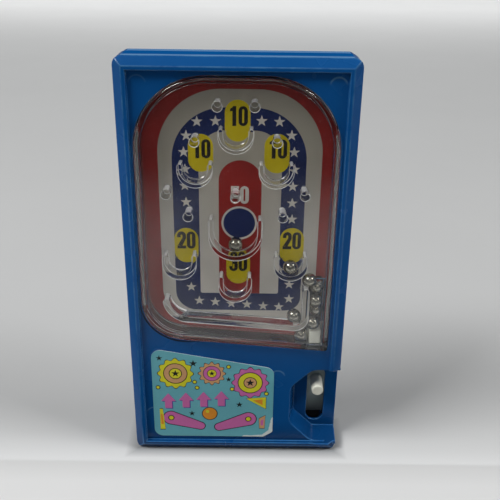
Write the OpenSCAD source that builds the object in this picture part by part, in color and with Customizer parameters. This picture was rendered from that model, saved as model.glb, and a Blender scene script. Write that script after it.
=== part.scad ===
// Handheld pinball game, millimetres.
// X runs to the right, Y from front to back, Z up. The case stands on Z = 0, centred on X and Y.
// Depths are measured from the crest of the front rim, so depth 0 lies at Y = -case_d / 2.

/* [Case] */
// Width of the case
case_w = 72; // [70:0.5:84]
// Height of the case
case_h = 139.4; // [137:0.2:160]
// Depth of the case
case_d = 16; // [15.6:0.1:22]
// Radius of the four upright corners
case_corner = 3; // [1:0.25:3.2]
// Thickness of the side walls
case_wall = 1.8; // [1.4:0.1:2]
// Depth of the front shell
front_d = 10.6; // [10.4:0.1:11]
// Width of the groove between the shells
groove = 0.4; // [0.2:0.1:0.6]
// How far the back shell stands in from the front shell
back_inset = 0.3; // [0:0.05:0.5]
// Thickness of the rear panel
rear_t = 1.8; // [1.2:0.1:2.4]
// Bevel of the rear edges
rear_bevel = 0.8; // [0.3:0.1:1.2]
// Thickness of the locating lip
lip_t = 1; // [0.8:0.1:1.1]
// Length that the lip reaches into the front shell
lip_reach = 1; // [0.6:0.1:1.1]
// Clearance between parts that are pushed together
shell_fit = 0.15; // [0.05:0.05:0.2]

/* [Front rim and panel] */
// Width of the rim's sloping band
rim_slope_w = 2.7; // [1.5:0.1:3]
// Depth of the rim's sloping band
rim_slope_d = 2; // [1:0.1:2.4]
// Width of the rim's flat crest
rim_crest = 1.25; // [0.8:0.05:1.4]
// Depth of the panel behind the crest
panel_recess = 1.4; // [0.8:0.1:1.6]
// Thickness of the panel
panel_t = 1.8; // [1.4:0.1:1.9]

/* [Clear cover] */
// Distance from the sides of the case to the sides of the clear cover
cover_side_gap = 5.15; // [4.8:0.05:5.4]
// Shift of the cover to the left of the case's middle
cover_shift = 0.15; // [0:0.05:0.5]
// Distance from the top of the case to the top of the cover
cover_top_gap = 5.7; // [5.2:0.1:7]
// Height of the cover's lower edge at the middle of the case
cover_low = 45.2; // [45:0.1:48]
// Slope of the cover's lower edge and of the rail, in degrees
slope = 4.56; // [3:0.01:5]
// Radius of the cover's upper corners
cover_top_r = 22; // [16:0.5:24]
// Radius of the cover's lower left corner
cover_low_r = 14; // [10:0.5:15]
// Radius of the cover's lower right corner
cover_lane_r = 1; // [0.5:0.1:2]
// Thickness of the cover's front
cover_t = 1.5; // [1.1:0.1:1.6]
// Thickness of the cover's side walls
cover_wall = 1.6; // [1.2:0.1:1.8]
// Clearance between the cover and the window's edge
window_gap = 0.35; // [0.2:0.05:0.5]
// Width of the flange behind the panel
flange_w = 1.5; // [1:0.1:1.6]
// Thickness of the flange
flange_t = 1.2; // [0.8:0.1:1.6]
// Clearance at faces that are clamped together
clamp_gap = 0.1; // [0.05:0.05:0.15]

/* [Playfield] */
// Gap between the cover's inner face and the card
field_gap = 6.9; // [6.8:0.1:7.1]
// Thickness of the card
card_t = 0.8; // [0.5:0.1:0.9]
// Shift of the playfield's middle to the left of the cover's middle
field_shift = 0.35; // [0:0.05:0.5]
// Radius of a peg at its root
peg_root_r = 1.5; // [1:0.05:1.6]
// Radius of a peg at its tip
peg_tip_r = 1.22; // [0.8:0.02:1.4]
// Length of a peg
peg_l = 6.7; // [5:0.1:6.75]
// Depth of the cups
cup_depth = 5; // [4:0.1:6]
// Outer radius of the small cups
cup_r = 5.3; // [5.1:0.1:5.5]
// Outer radius of the large middle cup
big_cup_r = 8.4; // [7.6:0.1:8.8]
// Wall of the cups
cup_wall = 1.4; // [1:0.1:1.6]
// Straight side of the three upper cups
cup_side_top = 1.3; // [0.5:0.1:3]
// Straight side of the two outer cups
cup_side_outer = 2.4; // [0.5:0.1:3]
// Straight side of the lowest cup
cup_side_low = 2.9; // [0.5:0.1:4]
// Straight side of the large middle cup
cup_side_big = 4.7; // [2:0.1:5.5]

/* [Rail and lane] */
// Height of the rail's underside at the middle of the case
rail_low = 51.85; // [51.8:0.05:53]
// Thickness of the rail
rail_t = 2; // [1.6:0.1:2.2]
// Depth of the rail
rail_depth = 4.8; // [4:0.1:6]
// Outer radius of the rail's right corner
rail_corner_r = 4.6; // [4.5:0.1:5]
// Outer radius of the curl at the rail's left end
rail_curl_r = 8.6; // [7:0.1:9]
// Place of the rail's left end, from the cover's left edge
rail_start = 6.9; // [6:0.1:8]
// Sweep of the curl, in degrees
rail_curl_sweep = 76; // [40:1:80]
// Height of the rail's upright post
rail_post_top = 65.6; // [64.8:0.1:66]
// Width of the lane
lane_w = 5.4; // [5.3:0.1:5.6]
// Width of the slot in the card
card_slot_w = 6.2; // [5.4:0.1:6.4]
// Top of the slot in the card
card_slot_top = 66.8; // [66.6:0.1:70]

/* [Balls] */
// Diameter of a ball
ball_d = 4.76; // [4.6:0.01:4.8]
// Clearance at a ball's contacts
ball_gap = 0.04; // [0.02:0.01:0.08]
// Clearance between a ball and the cover or the lane's walls
lane_gap = 0.07; // [0.04:0.01:0.1]

/* [Finger scoop] */
// Width of the scoop, from the right side of the case
scoop_w = 17.1; // [16.6:0.1:17.5]
// Height of the scoop's lower edge
scoop_low = 4; // [3.95:0.05:5]
// Height of the scoop's upper edge
scoop_high = 34.3; // [33.6:0.1:34.6]
// Depth of the scoop's floor
scoop_d = 8.3; // [7.6:0.1:8.4]
// Slope of the scoop's sides, as inset of the floor's outline
scoop_inset = 1.8; // [1:0.1:2.2]
// Size of the cut upper left corner
scoop_cut_high = 7.4; // [5:0.1:8]
// Size of the cut lower left corner
scoop_cut_low = 8.2; // [6:0.1:9]
// Radius that softens the corners of the scoop
scoop_r = 4.5; // [3:0.1:5]
// Thickness of the scoop's walls
scoop_wall = 1.1; // [0.9:0.1:1.2]

/* [Plunger] */
// Travel of the plunger
stroke = 9; // [6:0.1:9.2]
// Distance of the knob from the right side of the case
knob_inset = 7.5; // [7.3:0.1:7.8]
// Height of the knob at rest
knob_z = 25.5; // [25:0.1:26.4]
// Radius of the knob at its tip
knob_tip_r = 2; // [1.6:0.05:2.1]
// Radius of the knob at its root
knob_root_r = 2.15; // [1.8:0.05:2.4]
// Depth of the knob's tip
knob_tip_d = 1.8; // [0.8:0.1:3]
// Width of the slot in the scoop's floor
slot_w = 6.2; // [5.6:0.1:6.4]
// Lower end of the slot
slot_low = 8.2; // [7.8:0.1:9]
// Upper end of the slot
slot_high = 31; // [30:0.1:31.4]
// Width of the plunger's plate
plate_w = 8.6; // [8.2:0.1:8.8]
// Thickness of the plunger's plate
plate_t = 1.7; // [1.2:0.1:2]
// Running clearance of the plunger
run_gap = 0.3; // [0.2:0.05:0.35]
// Width of the plunger's head
head_w = 3.9; // [3.4:0.1:4]
// Height of the plunger's head
head_h = 5; // [4.6:0.1:5.1]
// Depth of the head's front
head_d = 2.7; // [2.6:0.1:3.2]
// Width of the notch in the cover's lower wall
notch_w = 4.5; // [4.5:0.05:4.7]

/* [Spring] */
// Clearance between the spring and the rear panel
spring_rear_gap = 0.9; // [0.7:0.1:1.3]
// Diameter of the spring's wire
wire_d = 0.4; // [0.3:0.05:0.5]
// Turns of the spring
spring_turns = 7; // [5:1:8]
// Height of the ledge that carries the spring
ledge_z = 18; // [16:0.1:18.2]
// Length of the spring at rest
spring_l = 14; // [13.8:0.1:14.4]
// Thickness of the ledge and of the arm
arm_t = 1.3; // [1:0.1:1.6]
// Length of the pegs that hold the spring's ends
spring_peg = 1.5; // [1:0.1:2]
// Clearance in front of the spring
spring_clear = 0.4; // [0.35:0.05:0.6]

/* [Screws] */
// Outer radius of the screw posts
post_r = 3; // [2.6:0.1:3.1]
// Distance of the upper posts from the side of the case
post_side = 7; // [6.6:0.1:7.4]
// Distance of the upper posts from the top of the case
post_top = 7.9; // [7.4:0.1:8.2]
// Height of the lower left post
post_low = 15.4; // [10:0.1:20]
// Height of the post beside the scoop
post_mid = 31.4; // [30:0.1:33]
// Gap between the post beside the scoop and the scoop's edge
post_scoop_gap = 4.6; // [4.3:0.1:6]
// Radius of a screw's shank
screw_r = 1.05; // [0.9:0.05:1.2]
// Gap between a screw's tip and the floor of its hole
screw_tip_gap = 1; // [0.5:0.1:3]
// Radius of a screw's head
screw_head_r = 2; // [1.7:0.05:2.1]
// Thickness of a screw's head
screw_head_t = 1.4; // [1:0.1:1.6]
// Depth that the screws' heads lie below the rear face
screw_sink = 1.2; // [0.8:0.1:1.4]
// Clearance round a screw's shank
screw_fit = 0.05; // [0.02:0.01:0.1]
// Clearance round the screws in the back shell
screw_clear = 0.25; // [0.15:0.05:0.35]
// Width of the crossed slots in a screw's head
cross_w = 0.5; // [0.4:0.05:0.7]
// Length of the crossed slots
cross_l = 2.4; // [2:0.1:3]
// Depth of the crossed slots
cross_d = 0.7; // [0.4:0.1:0.9]
// Radius of the posts that carry the card
rest_r = 2; // [1.5:0.1:2.5]

/* [Label] */
// Gap between the label and the panel's left edge
label_left_gap = 2.9; // [2:0.05:5]
// Gap between the label and the finger scoop
label_scoop_gap = 5.8; // [4.4:0.1:7]
// Gap between the label and the panel's lower edge
label_low_gap = 1.7; // [1.35:0.05:4]
// Distance from the cover's lower edge down to the label's upper left corner
label_cover_gap = 2.8; // [2.6:0.1:7]
// Slope of the label's upper edge, in degrees
label_slope = 10.1; // [6:0.1:12]
// Thickness of the label
label_t = 0.15; // [0.1:0.01:0.3]
// Radius of the label's rounded corners
label_r = 3.2; // [1:0.1:5]
// Cut of the label's lower right corner
label_cut = 3.6; // [1.5:0.1:6]
// Radius at the ends of that cut
label_cut_r = 1; // [0.3:0.1:1.5]

/* [Hidden] */
$fn = 64;

// Depths from the rim's crest, and the rim's whole width
panel_back = panel_recess + panel_t;
panel_edge = rim_slope_w + rim_crest;
flange_front = panel_back + clamp_gap;
card_front = cover_t + field_gap;
card_back = card_front + card_t;
cover_back = card_front - clamp_gap;
scoop_back = scoop_d + scoop_wall;
plate_front = max(card_back, scoop_back) + run_gap;
plate_back = plate_front + plate_t;
rear_inner = case_d - rear_t;
back_front = front_d + groove;
lip_top = case_wall + 2 * shell_fit + lip_t;
boss_floor = 1.2;
least_r = 0.4;
// How far a cut runs past the body, and how far joined bodies overlap
past = 1;
fuse = 0.2;

// Cover and playfield
cover_w = case_w - 2 * cover_side_gap;
cover_left = -cover_shift - cover_w / 2;
cover_right = cover_left + cover_w;
cover_top = case_h - cover_top_gap;
cover_h = cover_top - cover_low;
field_x = (cover_left + cover_right) / 2 - field_shift;
function cover_floor(x) = cover_low + cover_wall / cos(slope) - tan(slope) * x;
function rail_under(x) = rail_low - tan(slope) * x;

// Lane
lane_right = cover_right - cover_wall;
lane_left = lane_right - lane_w;
lane_x = (lane_left + lane_right) / 2;
lane_foot = cover_low - tan(slope) * case_w;
post_left = lane_left - rail_t;
corner_x = lane_left - rail_corner_r;
corner_z = rail_under(corner_x) + rail_corner_r / cos(slope);
tip_z = rail_post_top - rail_t / 2;
curl_x = cover_left + rail_start + rail_curl_r;
curl_z = rail_under(curl_x) + rail_curl_r / cos(slope);

// Pegs, as [distance from the playfield's middle, height above the cover's lower edge]. Here and below, the
// upper ones keep their distance from the cover's top, and the outer ones from its sides
PEG_PAIRS = [[5.5, cover_h - 8.5], [12.4, cover_h - 19.1], [cover_w / 2 - 9.45, 52.7],
    [cover_w / 2 - 16.1, 45.5]];
MIDDLE_PEG = 52;
// Cups, as [distance from the playfield's middle, height above the cover's lower edge]
TOP_CUP = [0, cover_h - 17.3];
TEN_CUP = [12.4, cover_h - 28.1];
TWENTY_CUP = [cover_w / 2 - 13.05, 29];
BIG_CUP = [0, 39.1];
LOW_CUP = [0, 21];

// Finger scoop and plunger
case_side = case_w / 2;
scoop_left = case_side - scoop_w;
knob_x = case_side - knob_inset;
head_low = scoop_high + scoop_wall + stroke + run_gap;
head_top = head_low + head_h;
plate_low = case_wall + run_gap + stroke;
plate_left = knob_x - plate_w / 2;
guide_right = plate_left - run_gap;
guide_w = 0.6;
spring_d = rear_inner - spring_rear_gap - plate_front - spring_clear;
spring_r = spring_d / 2 - wire_d / 2;
spring_hole_r = spring_r - wire_d;
spring_x = guide_right - guide_w - spring_d / 2;
spring_depth = plate_front + spring_clear + spring_d / 2;
spring_back = spring_depth + spring_d / 2;
arm_left = spring_x - spring_d / 2;
arm_low = ledge_z + spring_l;
wire_gap = 0.03;
rib_t = 1;
rib_x = plate_w / 2 - rib_t;

// Ball centres, as [x, depth, z]
ball_r = ball_d / 2;
touch = ball_d + ball_gap;
near_cover = cover_t + ball_r + lane_gap;
near_card = card_front - ball_r + lane_gap / 2;
zig = near_card - near_cover;
at_left = lane_left + ball_r + lane_gap;
at_right = lane_right - ball_r - lane_gap;
function rise(dx) = sqrt(touch * touch - zig * zig - dx * dx);
lane_z1 = head_top + ball_r + ball_gap;
nest = rail_corner_r + ball_r + ball_gap;
lane_x1 = corner_x + sqrt(nest * nest - pow(lane_z1 - corner_z, 2));
lane_z2 = lane_z1 + rise(at_right - lane_x1);
lane_z3 = lane_z2 + rise(at_right - at_left);
lane_z4 = lane_z3 + rise(at_right - at_left);
top_ball_x = lane_left + ball_gap;
lane_z5 = lane_z4 + rise(at_right - top_ball_x);
roll = (ball_r + ball_gap) / cos(slope);
channel_x = lane_x - head_w / 2 - ball_r - run_gap;
tray_drop = rail_corner_r - rail_t - ball_r - ball_gap;
cup_drop = cup_r - cup_wall - ball_r - ball_gap;
big_cup_drop = big_cup_r - cup_wall - ball_r - ball_gap;
BALLS = [[lane_x1, near_cover, lane_z1],
    [at_right, near_card, lane_z2],
    [at_left, near_cover, lane_z3],
    [at_right, near_card, lane_z4],
    [top_ball_x, near_cover, lane_z5],
    [channel_x, near_cover, cover_floor(channel_x) + roll],
    [corner_x - tray_drop * sin(slope), near_cover, corner_z - tray_drop * cos(slope)],
    [field_x + TWENTY_CUP[0], cover_t + cup_depth - ball_r, cover_low + TWENTY_CUP[1] - cup_drop],
    [field_x, near_card - lane_gap, cover_low + BIG_CUP[1] - big_cup_drop]];

// Screw posts
POSTS = [[-case_side + post_side, case_h - post_top],
    [case_side - post_side, case_h - post_top],
    [-case_side + post_side, post_low],
    [scoop_left - post_scoop_gap, post_mid]];
screw_seat = case_d - screw_sink - screw_head_t;
screw_hole_end = panel_back + boss_floor;
screw_l = screw_seat - screw_hole_end - screw_tip_gap;
post_gap = 0.2;

// Posts behind the card, as [distance from the playfield's middle, height above the cover's lower edge]
REST_SIDE = cover_w / 2 - 5.85;
REST_TOP = [cover_w / 2 - 13.85, cover_h - 8.5];
RESTS = [[1 - REST_SIDE, 14], [0, 8], [-REST_SIDE, 50], [REST_SIDE, 50], [0, 46],
    [-REST_TOP[0], REST_TOP[1]], REST_TOP];

// Extrudes an outline, drawn as [x, z], between two depths
module slab(front, back) {
    translate([0, back - case_d / 2, 0])
        rotate([90, 0, 0])
            linear_extrude(height = back - front)
                children();
}

// A round bar or hole along the depth
module bar(x, z, front, back, r_front, r_back) {
    translate([x, back - case_d / 2, z])
        rotate([90, 0, 0])
            cylinder(h = back - front, r1 = r_back, r2 = r_front);
}

module box_at(left, right, low, high, front, back) {
    translate([left, front - case_d / 2, low])
        cube([right - left, back - front, high - low]);
}

// Outline of the case, grown by a margin
module case_outline(grow) {
    r = max(case_corner + grow, least_r);
    half = case_side + grow;
    translate([-half + r, -grow])
        square([2 * (half - r), case_h + 2 * grow]);
    translate([-half, r - grow])
        square([2 * half, case_h + 2 * grow - 2 * r]);
    for (x = [-half + r, half - r])
        for (z = [r - grow, case_h + grow - r])
            translate([x, z])
                circle(r);
}

// A corner between an upright side and the sloping lower edge, as [x, z, radius]
function low_corner(x, inward, r, grow) = [x + inward * r,
    cover_low - tan(slope) * (x + inward * r) + (r - grow) / cos(slope), r];

// A block with the cover's outline, grown by a margin: four round corners and the space between them
module cover_block(grow, front, back) {
    left = cover_left - grow;
    right = cover_right + grow;
    top = cover_top + grow;
    top_r = cover_top_r + grow;
    a = low_corner(left, 1, cover_low_r + grow, grow);
    b = low_corner(right, -1, max(cover_lane_r + grow, least_r), grow);
    c = [left + top_r, top - top_r, top_r];
    d = [right - top_r, top - top_r, top_r];
    down = [-sin(slope), -cos(slope)];
    slab(front, back)
        polygon([[left, c[1]], [c[0], c[1]], [c[0], top], [d[0], top], [d[0], d[1]], [right, d[1]],
            [right, b[1]], [b[0], b[1]], [b[0] + b[2] * down[0], b[1] + b[2] * down[1]],
            [a[0] + a[2] * down[0], a[1] + a[2] * down[1]], [a[0], a[1]], [left, a[1]]]);
    for (corner = [a, b, c, d])
        bar(corner[0], corner[1], front, back, corner[2], corner[2]);
}

// The rim's sloping bands, as prisms that cut the front edges at a mitre
module rim_slopes() {
    run = rim_slope_w;
    drop = rim_slope_d;
    wedge = [[-run, -drop], [2 * run, -drop], [2 * run, 2 * drop]];
    y = -case_d / 2;
    for (side = [-1, 1]) {
        translate([0, 0, -past])
            linear_extrude(height = case_h + 2 * past)
                polygon([for (p = wedge) [side * (case_side - run + p[0]), y + p[1]]]);
        z = side > 0 ? case_h - run : run;
        translate([-case_side - past, 0, 0])
            rotate([90, 0, 90])
                linear_extrude(height = case_w + 2 * past)
                    polygon([for (p = wedge) [y + p[1], z + side * p[0]]]);
    }
}

// The scoop's tapering hollow, or with a margin its outer wall
module scoop(grow, front, back) {
    taper = scoop_inset / (scoop_d - panel_recess);
    r_front = scoop_r + grow + taper * (panel_recess - front);
    r_back = scoop_r + grow + taper * (panel_recess - back);
    ease = scoop_r * (sqrt(2) - 1);
    left = scoop_left + scoop_r;
    low = scoop_low + scoop_r;
    high = scoop_high - scoop_r;
    centres = [[left, scoop_low + scoop_cut_low + ease],
        [scoop_left + scoop_cut_low + ease, low],
        [left, scoop_high - scoop_cut_high - ease],
        [scoop_left + scoop_cut_high + ease, high],
        [case_side + 2 * scoop_r, low],
        [case_side + 2 * scoop_r, high]];
    hull()
        for (c = centres)
            bar(c[0], c[1], front, back, r_front, r_back, $fn = 32);
}

// One post for each screw
module posts(front, back, r) {
    for (p = POSTS)
        bar(p[0], p[1], front, back, r, r);
}

// The slot in the scoop's floor
module knob_slot() {
    r = slot_w / 2;
    translate([knob_x - r, slot_low + r])
        square([slot_w, slot_high - slot_low - slot_w]);
    for (z = [slot_low + r, slot_high - r])
        translate([knob_x, z])
            circle(r);
}

module front_shell() color([0.06, 0.36, 0.68])
    difference() {
        union() {
            difference() {
                slab(0, front_d)
                    case_outline(0);
                rim_slopes();
                slab(-past, panel_recess)
                    translate([-case_side + panel_edge, panel_edge])
                        square([case_w - 2 * panel_edge, case_h - 2 * panel_edge]);
                slab(panel_back, front_d + past)
                    case_outline(-case_wall);
                cover_block(window_gap, 0, panel_back + past);
            }
            intersection() {
                slab(panel_recess, scoop_back)
                    case_outline(0);
                scoop(scoop_wall, 0, scoop_back);
            }
            posts(panel_back - fuse, front_d, post_r);
            // Left guide of the plunger's plate, and the ledge that carries the spring
            box_at(guide_right - guide_w, guide_right, lip_top, arm_low - stroke - run_gap,
                scoop_back - fuse, plate_back);
            box_at(arm_left, guide_right, ledge_z - arm_t, ledge_z, scoop_back - fuse, spring_back);
            translate([spring_x, spring_depth - case_d / 2, ledge_z - fuse])
                cylinder(h = spring_peg + fuse, r = spring_hole_r);
        }
        scoop(0, -past / 2, scoop_d);
        slab(scoop_d - past, scoop_back + past)
            knob_slot();
        posts(screw_hole_end, front_d + past, screw_r + screw_fit);
        // Relief behind the panel for the plunger's head
        box_at(lane_x - notch_w / 2, lane_x + notch_w / 2, head_low - stroke - run_gap, cover_low,
            head_d - run_gap, panel_back + past);
    }

// Sloping rear edges of the back shell
module rear_bevels() {
    edge = case_side - back_inset;
    b = rear_bevel;
    y = case_d / 2;
    wedge = [[-b, b], [b, b], [b, -b]];
    for (side = [-1, 1]) {
        translate([0, 0, -past])
            linear_extrude(height = case_h + 2 * past)
                polygon([for (p = wedge) [side * (edge + p[0]), y + p[1]]]);
        z = side > 0 ? case_h - back_inset : 0;
        translate([-case_side - past, 0, 0])
            rotate([90, 0, 90])
                linear_extrude(height = case_w + 2 * past)
                    polygon([for (p = wedge) [y + p[1], z + side * p[0]]]);
    }
}

// Outline of the back shell, which stands in all round but shares the case's bottom face
module back_outline() {
    foot = case_w - 2 * case_corner - 2 * back_inset;
    case_outline(-back_inset);
    translate([-foot / 2, 0])
        square([foot, case_corner]);
}

module back_shell() color([0.06, 0.33, 0.63])
    difference() {
        union() {
            difference() {
                slab(back_front, case_d)
                    back_outline();
                slab(back_front - past, rear_inner)
                    case_outline(-case_wall);
                rear_bevels();
            }
            // Lip that locates the back in the front shell
            lip_out = -case_wall - shell_fit;
            difference() {
                slab(front_d - lip_reach, rear_inner)
                    case_outline(lip_out);
                slab(front_d - lip_reach - past, rear_inner + past)
                    case_outline(lip_out - lip_t);
                // Break in the lip below the plunger's plate
                box_at(plate_left - run_gap, plate_left + plate_w + run_gap, 0, lip_top,
                    front_d - lip_reach - past, plate_back + run_gap);
            }
            slab(back_front, rear_inner)
                difference() {
                    case_outline(-case_wall + fuse / 2);
                    case_outline(lip_out - fuse / 2);
                }
            posts(front_d + post_gap, rear_inner + fuse, post_r);
            // Pad that closes the card's slot behind the lane
            pad_w = card_slot_w / 2 - run_gap;
            box_at(lane_x - pad_w, lane_x + pad_w, head_top + run_gap, card_slot_top - run_gap,
                card_front + clamp_gap, rear_inner + fuse);
            // Ribs that guide the plunger's plate
            for (x = [knob_x - rib_x, knob_x + rib_x])
                box_at(x - rib_t / 2, x + rib_t / 2, lip_top - shell_fit, head_low,
                    plate_back + run_gap / 2, rear_inner + fuse);
            // Posts that carry the card
            for (p = RESTS)
                bar(field_x + p[0], cover_low + p[1], card_back + clamp_gap, rear_inner + fuse,
                    rest_r, rest_r);
        }
        posts(front_d, case_d + past, screw_r + screw_clear);
        posts(screw_seat, case_d + past, screw_head_r + screw_clear);
    }

// A straight-sided U, open at the top, with rounded tips
module cup_shape(r, side) {
    inner = r - cup_wall;
    difference() {
        union() {
            circle(r);
            translate([-r, 0])
                square([2 * r, side]);
        }
        circle(inner);
        translate([-inner, 0])
            square([2 * inner, r + side + past]);
        translate([-r - past, side])
            square([2 * (r + past), 2 * r]);
    }
    for (x = [-1, 1])
        translate([x * (r - cup_wall / 2), side])
            circle(cup_wall / 2);
}

module cup(place, mirrored, r, side) {
    for (s = mirrored)
        slab(cover_t - fuse, cover_t + cup_depth)
            translate([field_x + s * place[0], cover_low + place[1]])
                cup_shape(r, side);
}

module peg(x, z) {
    bar(field_x + x, cover_low + z, cover_t - fuse, cover_t + peg_l, peg_root_r, peg_tip_r);
}

// Part of a ring between two angles less than half a turn apart
module ring_part(x, z, r, from, to) {
    far = 2 * r;
    mid = (from + to) / 2;
    translate([x, z])
        intersection() {
            difference() {
                circle(r);
                circle(r - rail_t);
            }
            polygon([[0, 0], far * [cos(from), sin(from)], far * [cos(mid), sin(mid)],
                far * [cos(to), sin(to)]]);
        }
}

// The rail: a curl at the left, a sloping run, a corner and an upright post
module rail_shape() {
    down = 270 - slope;
    ring_part(curl_x, curl_z, rail_curl_r, down - rail_curl_sweep, down);
    curl_end = rail_curl_r - rail_t / 2;
    translate([curl_x, curl_z])
        translate(curl_end * [cos(down - rail_curl_sweep), sin(down - rail_curl_sweep)])
            circle(rail_t / 2);
    a = [curl_x - rail_curl_r * sin(slope), curl_z - rail_curl_r * cos(slope)];
    b = [corner_x - rail_corner_r * sin(slope), corner_z - rail_corner_r * cos(slope)];
    up = rail_t * [sin(slope), cos(slope)];
    polygon([a, b, b + up, a + up]);
    ring_part(corner_x, corner_z, rail_corner_r, down, 360);
    translate([post_left, corner_z])
        square([rail_t, tip_z - corner_z]);
    translate([post_left + rail_t / 2, tip_z])
        circle(rail_t / 2);
}

module clear_cover() color([0.85, 0.88, 0.9, 0.35])
    union() {
        difference() {
            union() {
                cover_block(0, 0, cover_back);
                cover_block(flange_w, flange_front, flange_front + flange_t);
            }
            cover_block(-cover_wall, cover_t, cover_back + past);
            // Notch for the plunger's head
            box_at(lane_x - notch_w / 2, lane_x + notch_w / 2, lane_foot, rail_low,
                head_d - run_gap, cover_back + past);
        }
        for (p = PEG_PAIRS)
            for (s = [-1, 1])
                peg(s * p[0], p[1]);
        peg(0, MIDDLE_PEG);
        cup(TOP_CUP, [1], cup_r, cup_side_top);
        cup(TEN_CUP, [-1, 1], cup_r, cup_side_top);
        cup(TWENTY_CUP, [-1, 1], cup_r, cup_side_outer);
        cup(BIG_CUP, [1], big_cup_r, cup_side_big);
        cup(LOW_CUP, [1], cup_r, cup_side_low);
        slab(cover_t - fuse, cover_t + rail_depth)
            rail_shape();
    }

module playfield_card() color([0.93, 0.91, 0.87])
    difference() {
        cover_block(flange_w - clamp_gap, card_front, card_back);
        box_at(lane_x - card_slot_w / 2, lane_x + card_slot_w / 2, lane_foot, card_slot_top,
            card_front - past, card_back + past);
    }

module plunger() color([0.93, 0.92, 0.88])
    union() {
        box_at(plate_left, plate_left + plate_w, plate_low, head_top, plate_front, plate_back);
        bar(knob_x, knob_z, knob_tip_d, plate_front + fuse, knob_tip_r, knob_root_r);
        box_at(lane_x - head_w / 2, lane_x + head_w / 2, head_low, head_top, head_d, plate_front + fuse);
        // Arm that presses on the spring
        box_at(arm_left, plate_left + fuse, arm_low, arm_low + arm_t, plate_front, spring_back);
        translate([spring_x, spring_depth - case_d / 2, arm_low - spring_peg])
            cylinder(h = spring_peg + fuse, r = spring_hole_r);
    }

// Spring wire as one tube along a helix
RING_SIDES = 6;
TURN_STEPS = 8;
spring_pitch = (spring_l - wire_d - 2 * wire_gap) / spring_turns;
spring_steps = spring_turns * TURN_STEPS;
function spring_point(i, j) =
    let (turn = 360 * i / TURN_STEPS, side = 360 * j / RING_SIDES, r = spring_r + wire_d / 2 * cos(side))
    [spring_x + r * cos(turn), spring_depth - case_d / 2 + r * sin(turn),
        ledge_z + wire_gap + wire_d / 2 + spring_pitch * i / TURN_STEPS + wire_d / 2 * sin(side)];

module return_spring() color([0.75, 0.76, 0.78]) {
    rings = [for (i = [0:spring_steps], j = [0:RING_SIDES - 1]) spring_point(i, j)];
    sides = [for (i = [0:spring_steps - 1], j = [0:RING_SIDES - 1])
        let (a = i * RING_SIDES + j, b = i * RING_SIDES + (j + 1) % RING_SIDES)
        each [[a, a + RING_SIDES, b], [b, a + RING_SIDES, b + RING_SIDES]]];
    last = spring_steps * RING_SIDES;
    ends = [for (j = [1:RING_SIDES - 2]) each [[0, j, j + 1], [last, last + j + 1, last + j]]];
    polyhedron(points = rings, faces = concat(sides, ends));
}

module ball(i) color([0.78, 0.79, 0.8])
    translate([BALLS[i][0], BALLS[i][1] - case_d / 2, BALLS[i][2]])
        sphere(r = ball_r);

// A rounded plate whose upper edge slopes, with its lower right corner cut
module label() color([0.3, 0.68, 0.72]) {
    low = panel_edge + label_low_gap;
    left = -case_side + panel_edge + label_left_gap;
    right = scoop_left - label_scoop_gap;
    high_left = cover_low - label_cover_gap;
    fall = tan(label_slope);
    down = label_r / cos(label_slope);
    corners = [[left + label_r, low + label_r, label_r],
        [left + label_r, high_left - fall * label_r - down, label_r],
        [right - label_r, high_left - fall * (right - label_r - left) - down, label_r],
        [right - label_cut_r, low + label_cut * 0.75, label_cut_r],
        [right - label_cut, low + label_cut_r, label_cut_r]];
    slab(panel_recess - label_t, panel_recess)
        hull()
            for (c = corners)
                translate([c[0], c[1]])
                    circle(c[2], $fn = 48);
}

module screw(i) color([0.7, 0.7, 0.72]) {
    x = POSTS[i][0];
    z = POSTS[i][1];
    difference() {
        union() {
            bar(x, z, screw_seat, screw_seat + screw_head_t, screw_head_r, screw_head_r);
            bar(x, z, screw_seat - screw_l, screw_seat + fuse, screw_r, screw_r);
        }
        // Crossed slots
        for (a = [0, 90])
            translate([x, screw_seat + screw_head_t - case_d / 2, z])
                rotate([0, a, 0])
                    cube([cross_l, 2 * cross_d, cross_w], center = true);
    }
}

front_shell();
back_shell();
clear_cover();
playfield_card();
plunger();
return_spring();
ball(0);  // ball_1
ball(1);  // ball_2
ball(2);  // ball_3
ball(3);  // ball_4
ball(4);  // ball_5
ball(5);  // ball_6
ball(6);  // ball_7
ball(7);  // ball_8
ball(8);  // ball_9
label();
screw(0);  // screw_1
screw(1);  // screw_2
screw(2);  // screw_3
screw(3);  // screw_4
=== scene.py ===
"""Looks of the handheld pinball game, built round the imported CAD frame.

Lengths are in metres, or in millimetres where they are multiplied by MM. What is printed on the card and the label is
in millimetres as (x, z), from the case's middle and its foot. Colours are linear.
"""

import math
import random

import bmesh
import bpy
import numpy as np
from mathutils import Matrix, Vector
from mathutils.geometry import delaunay_2d_cdt


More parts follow.
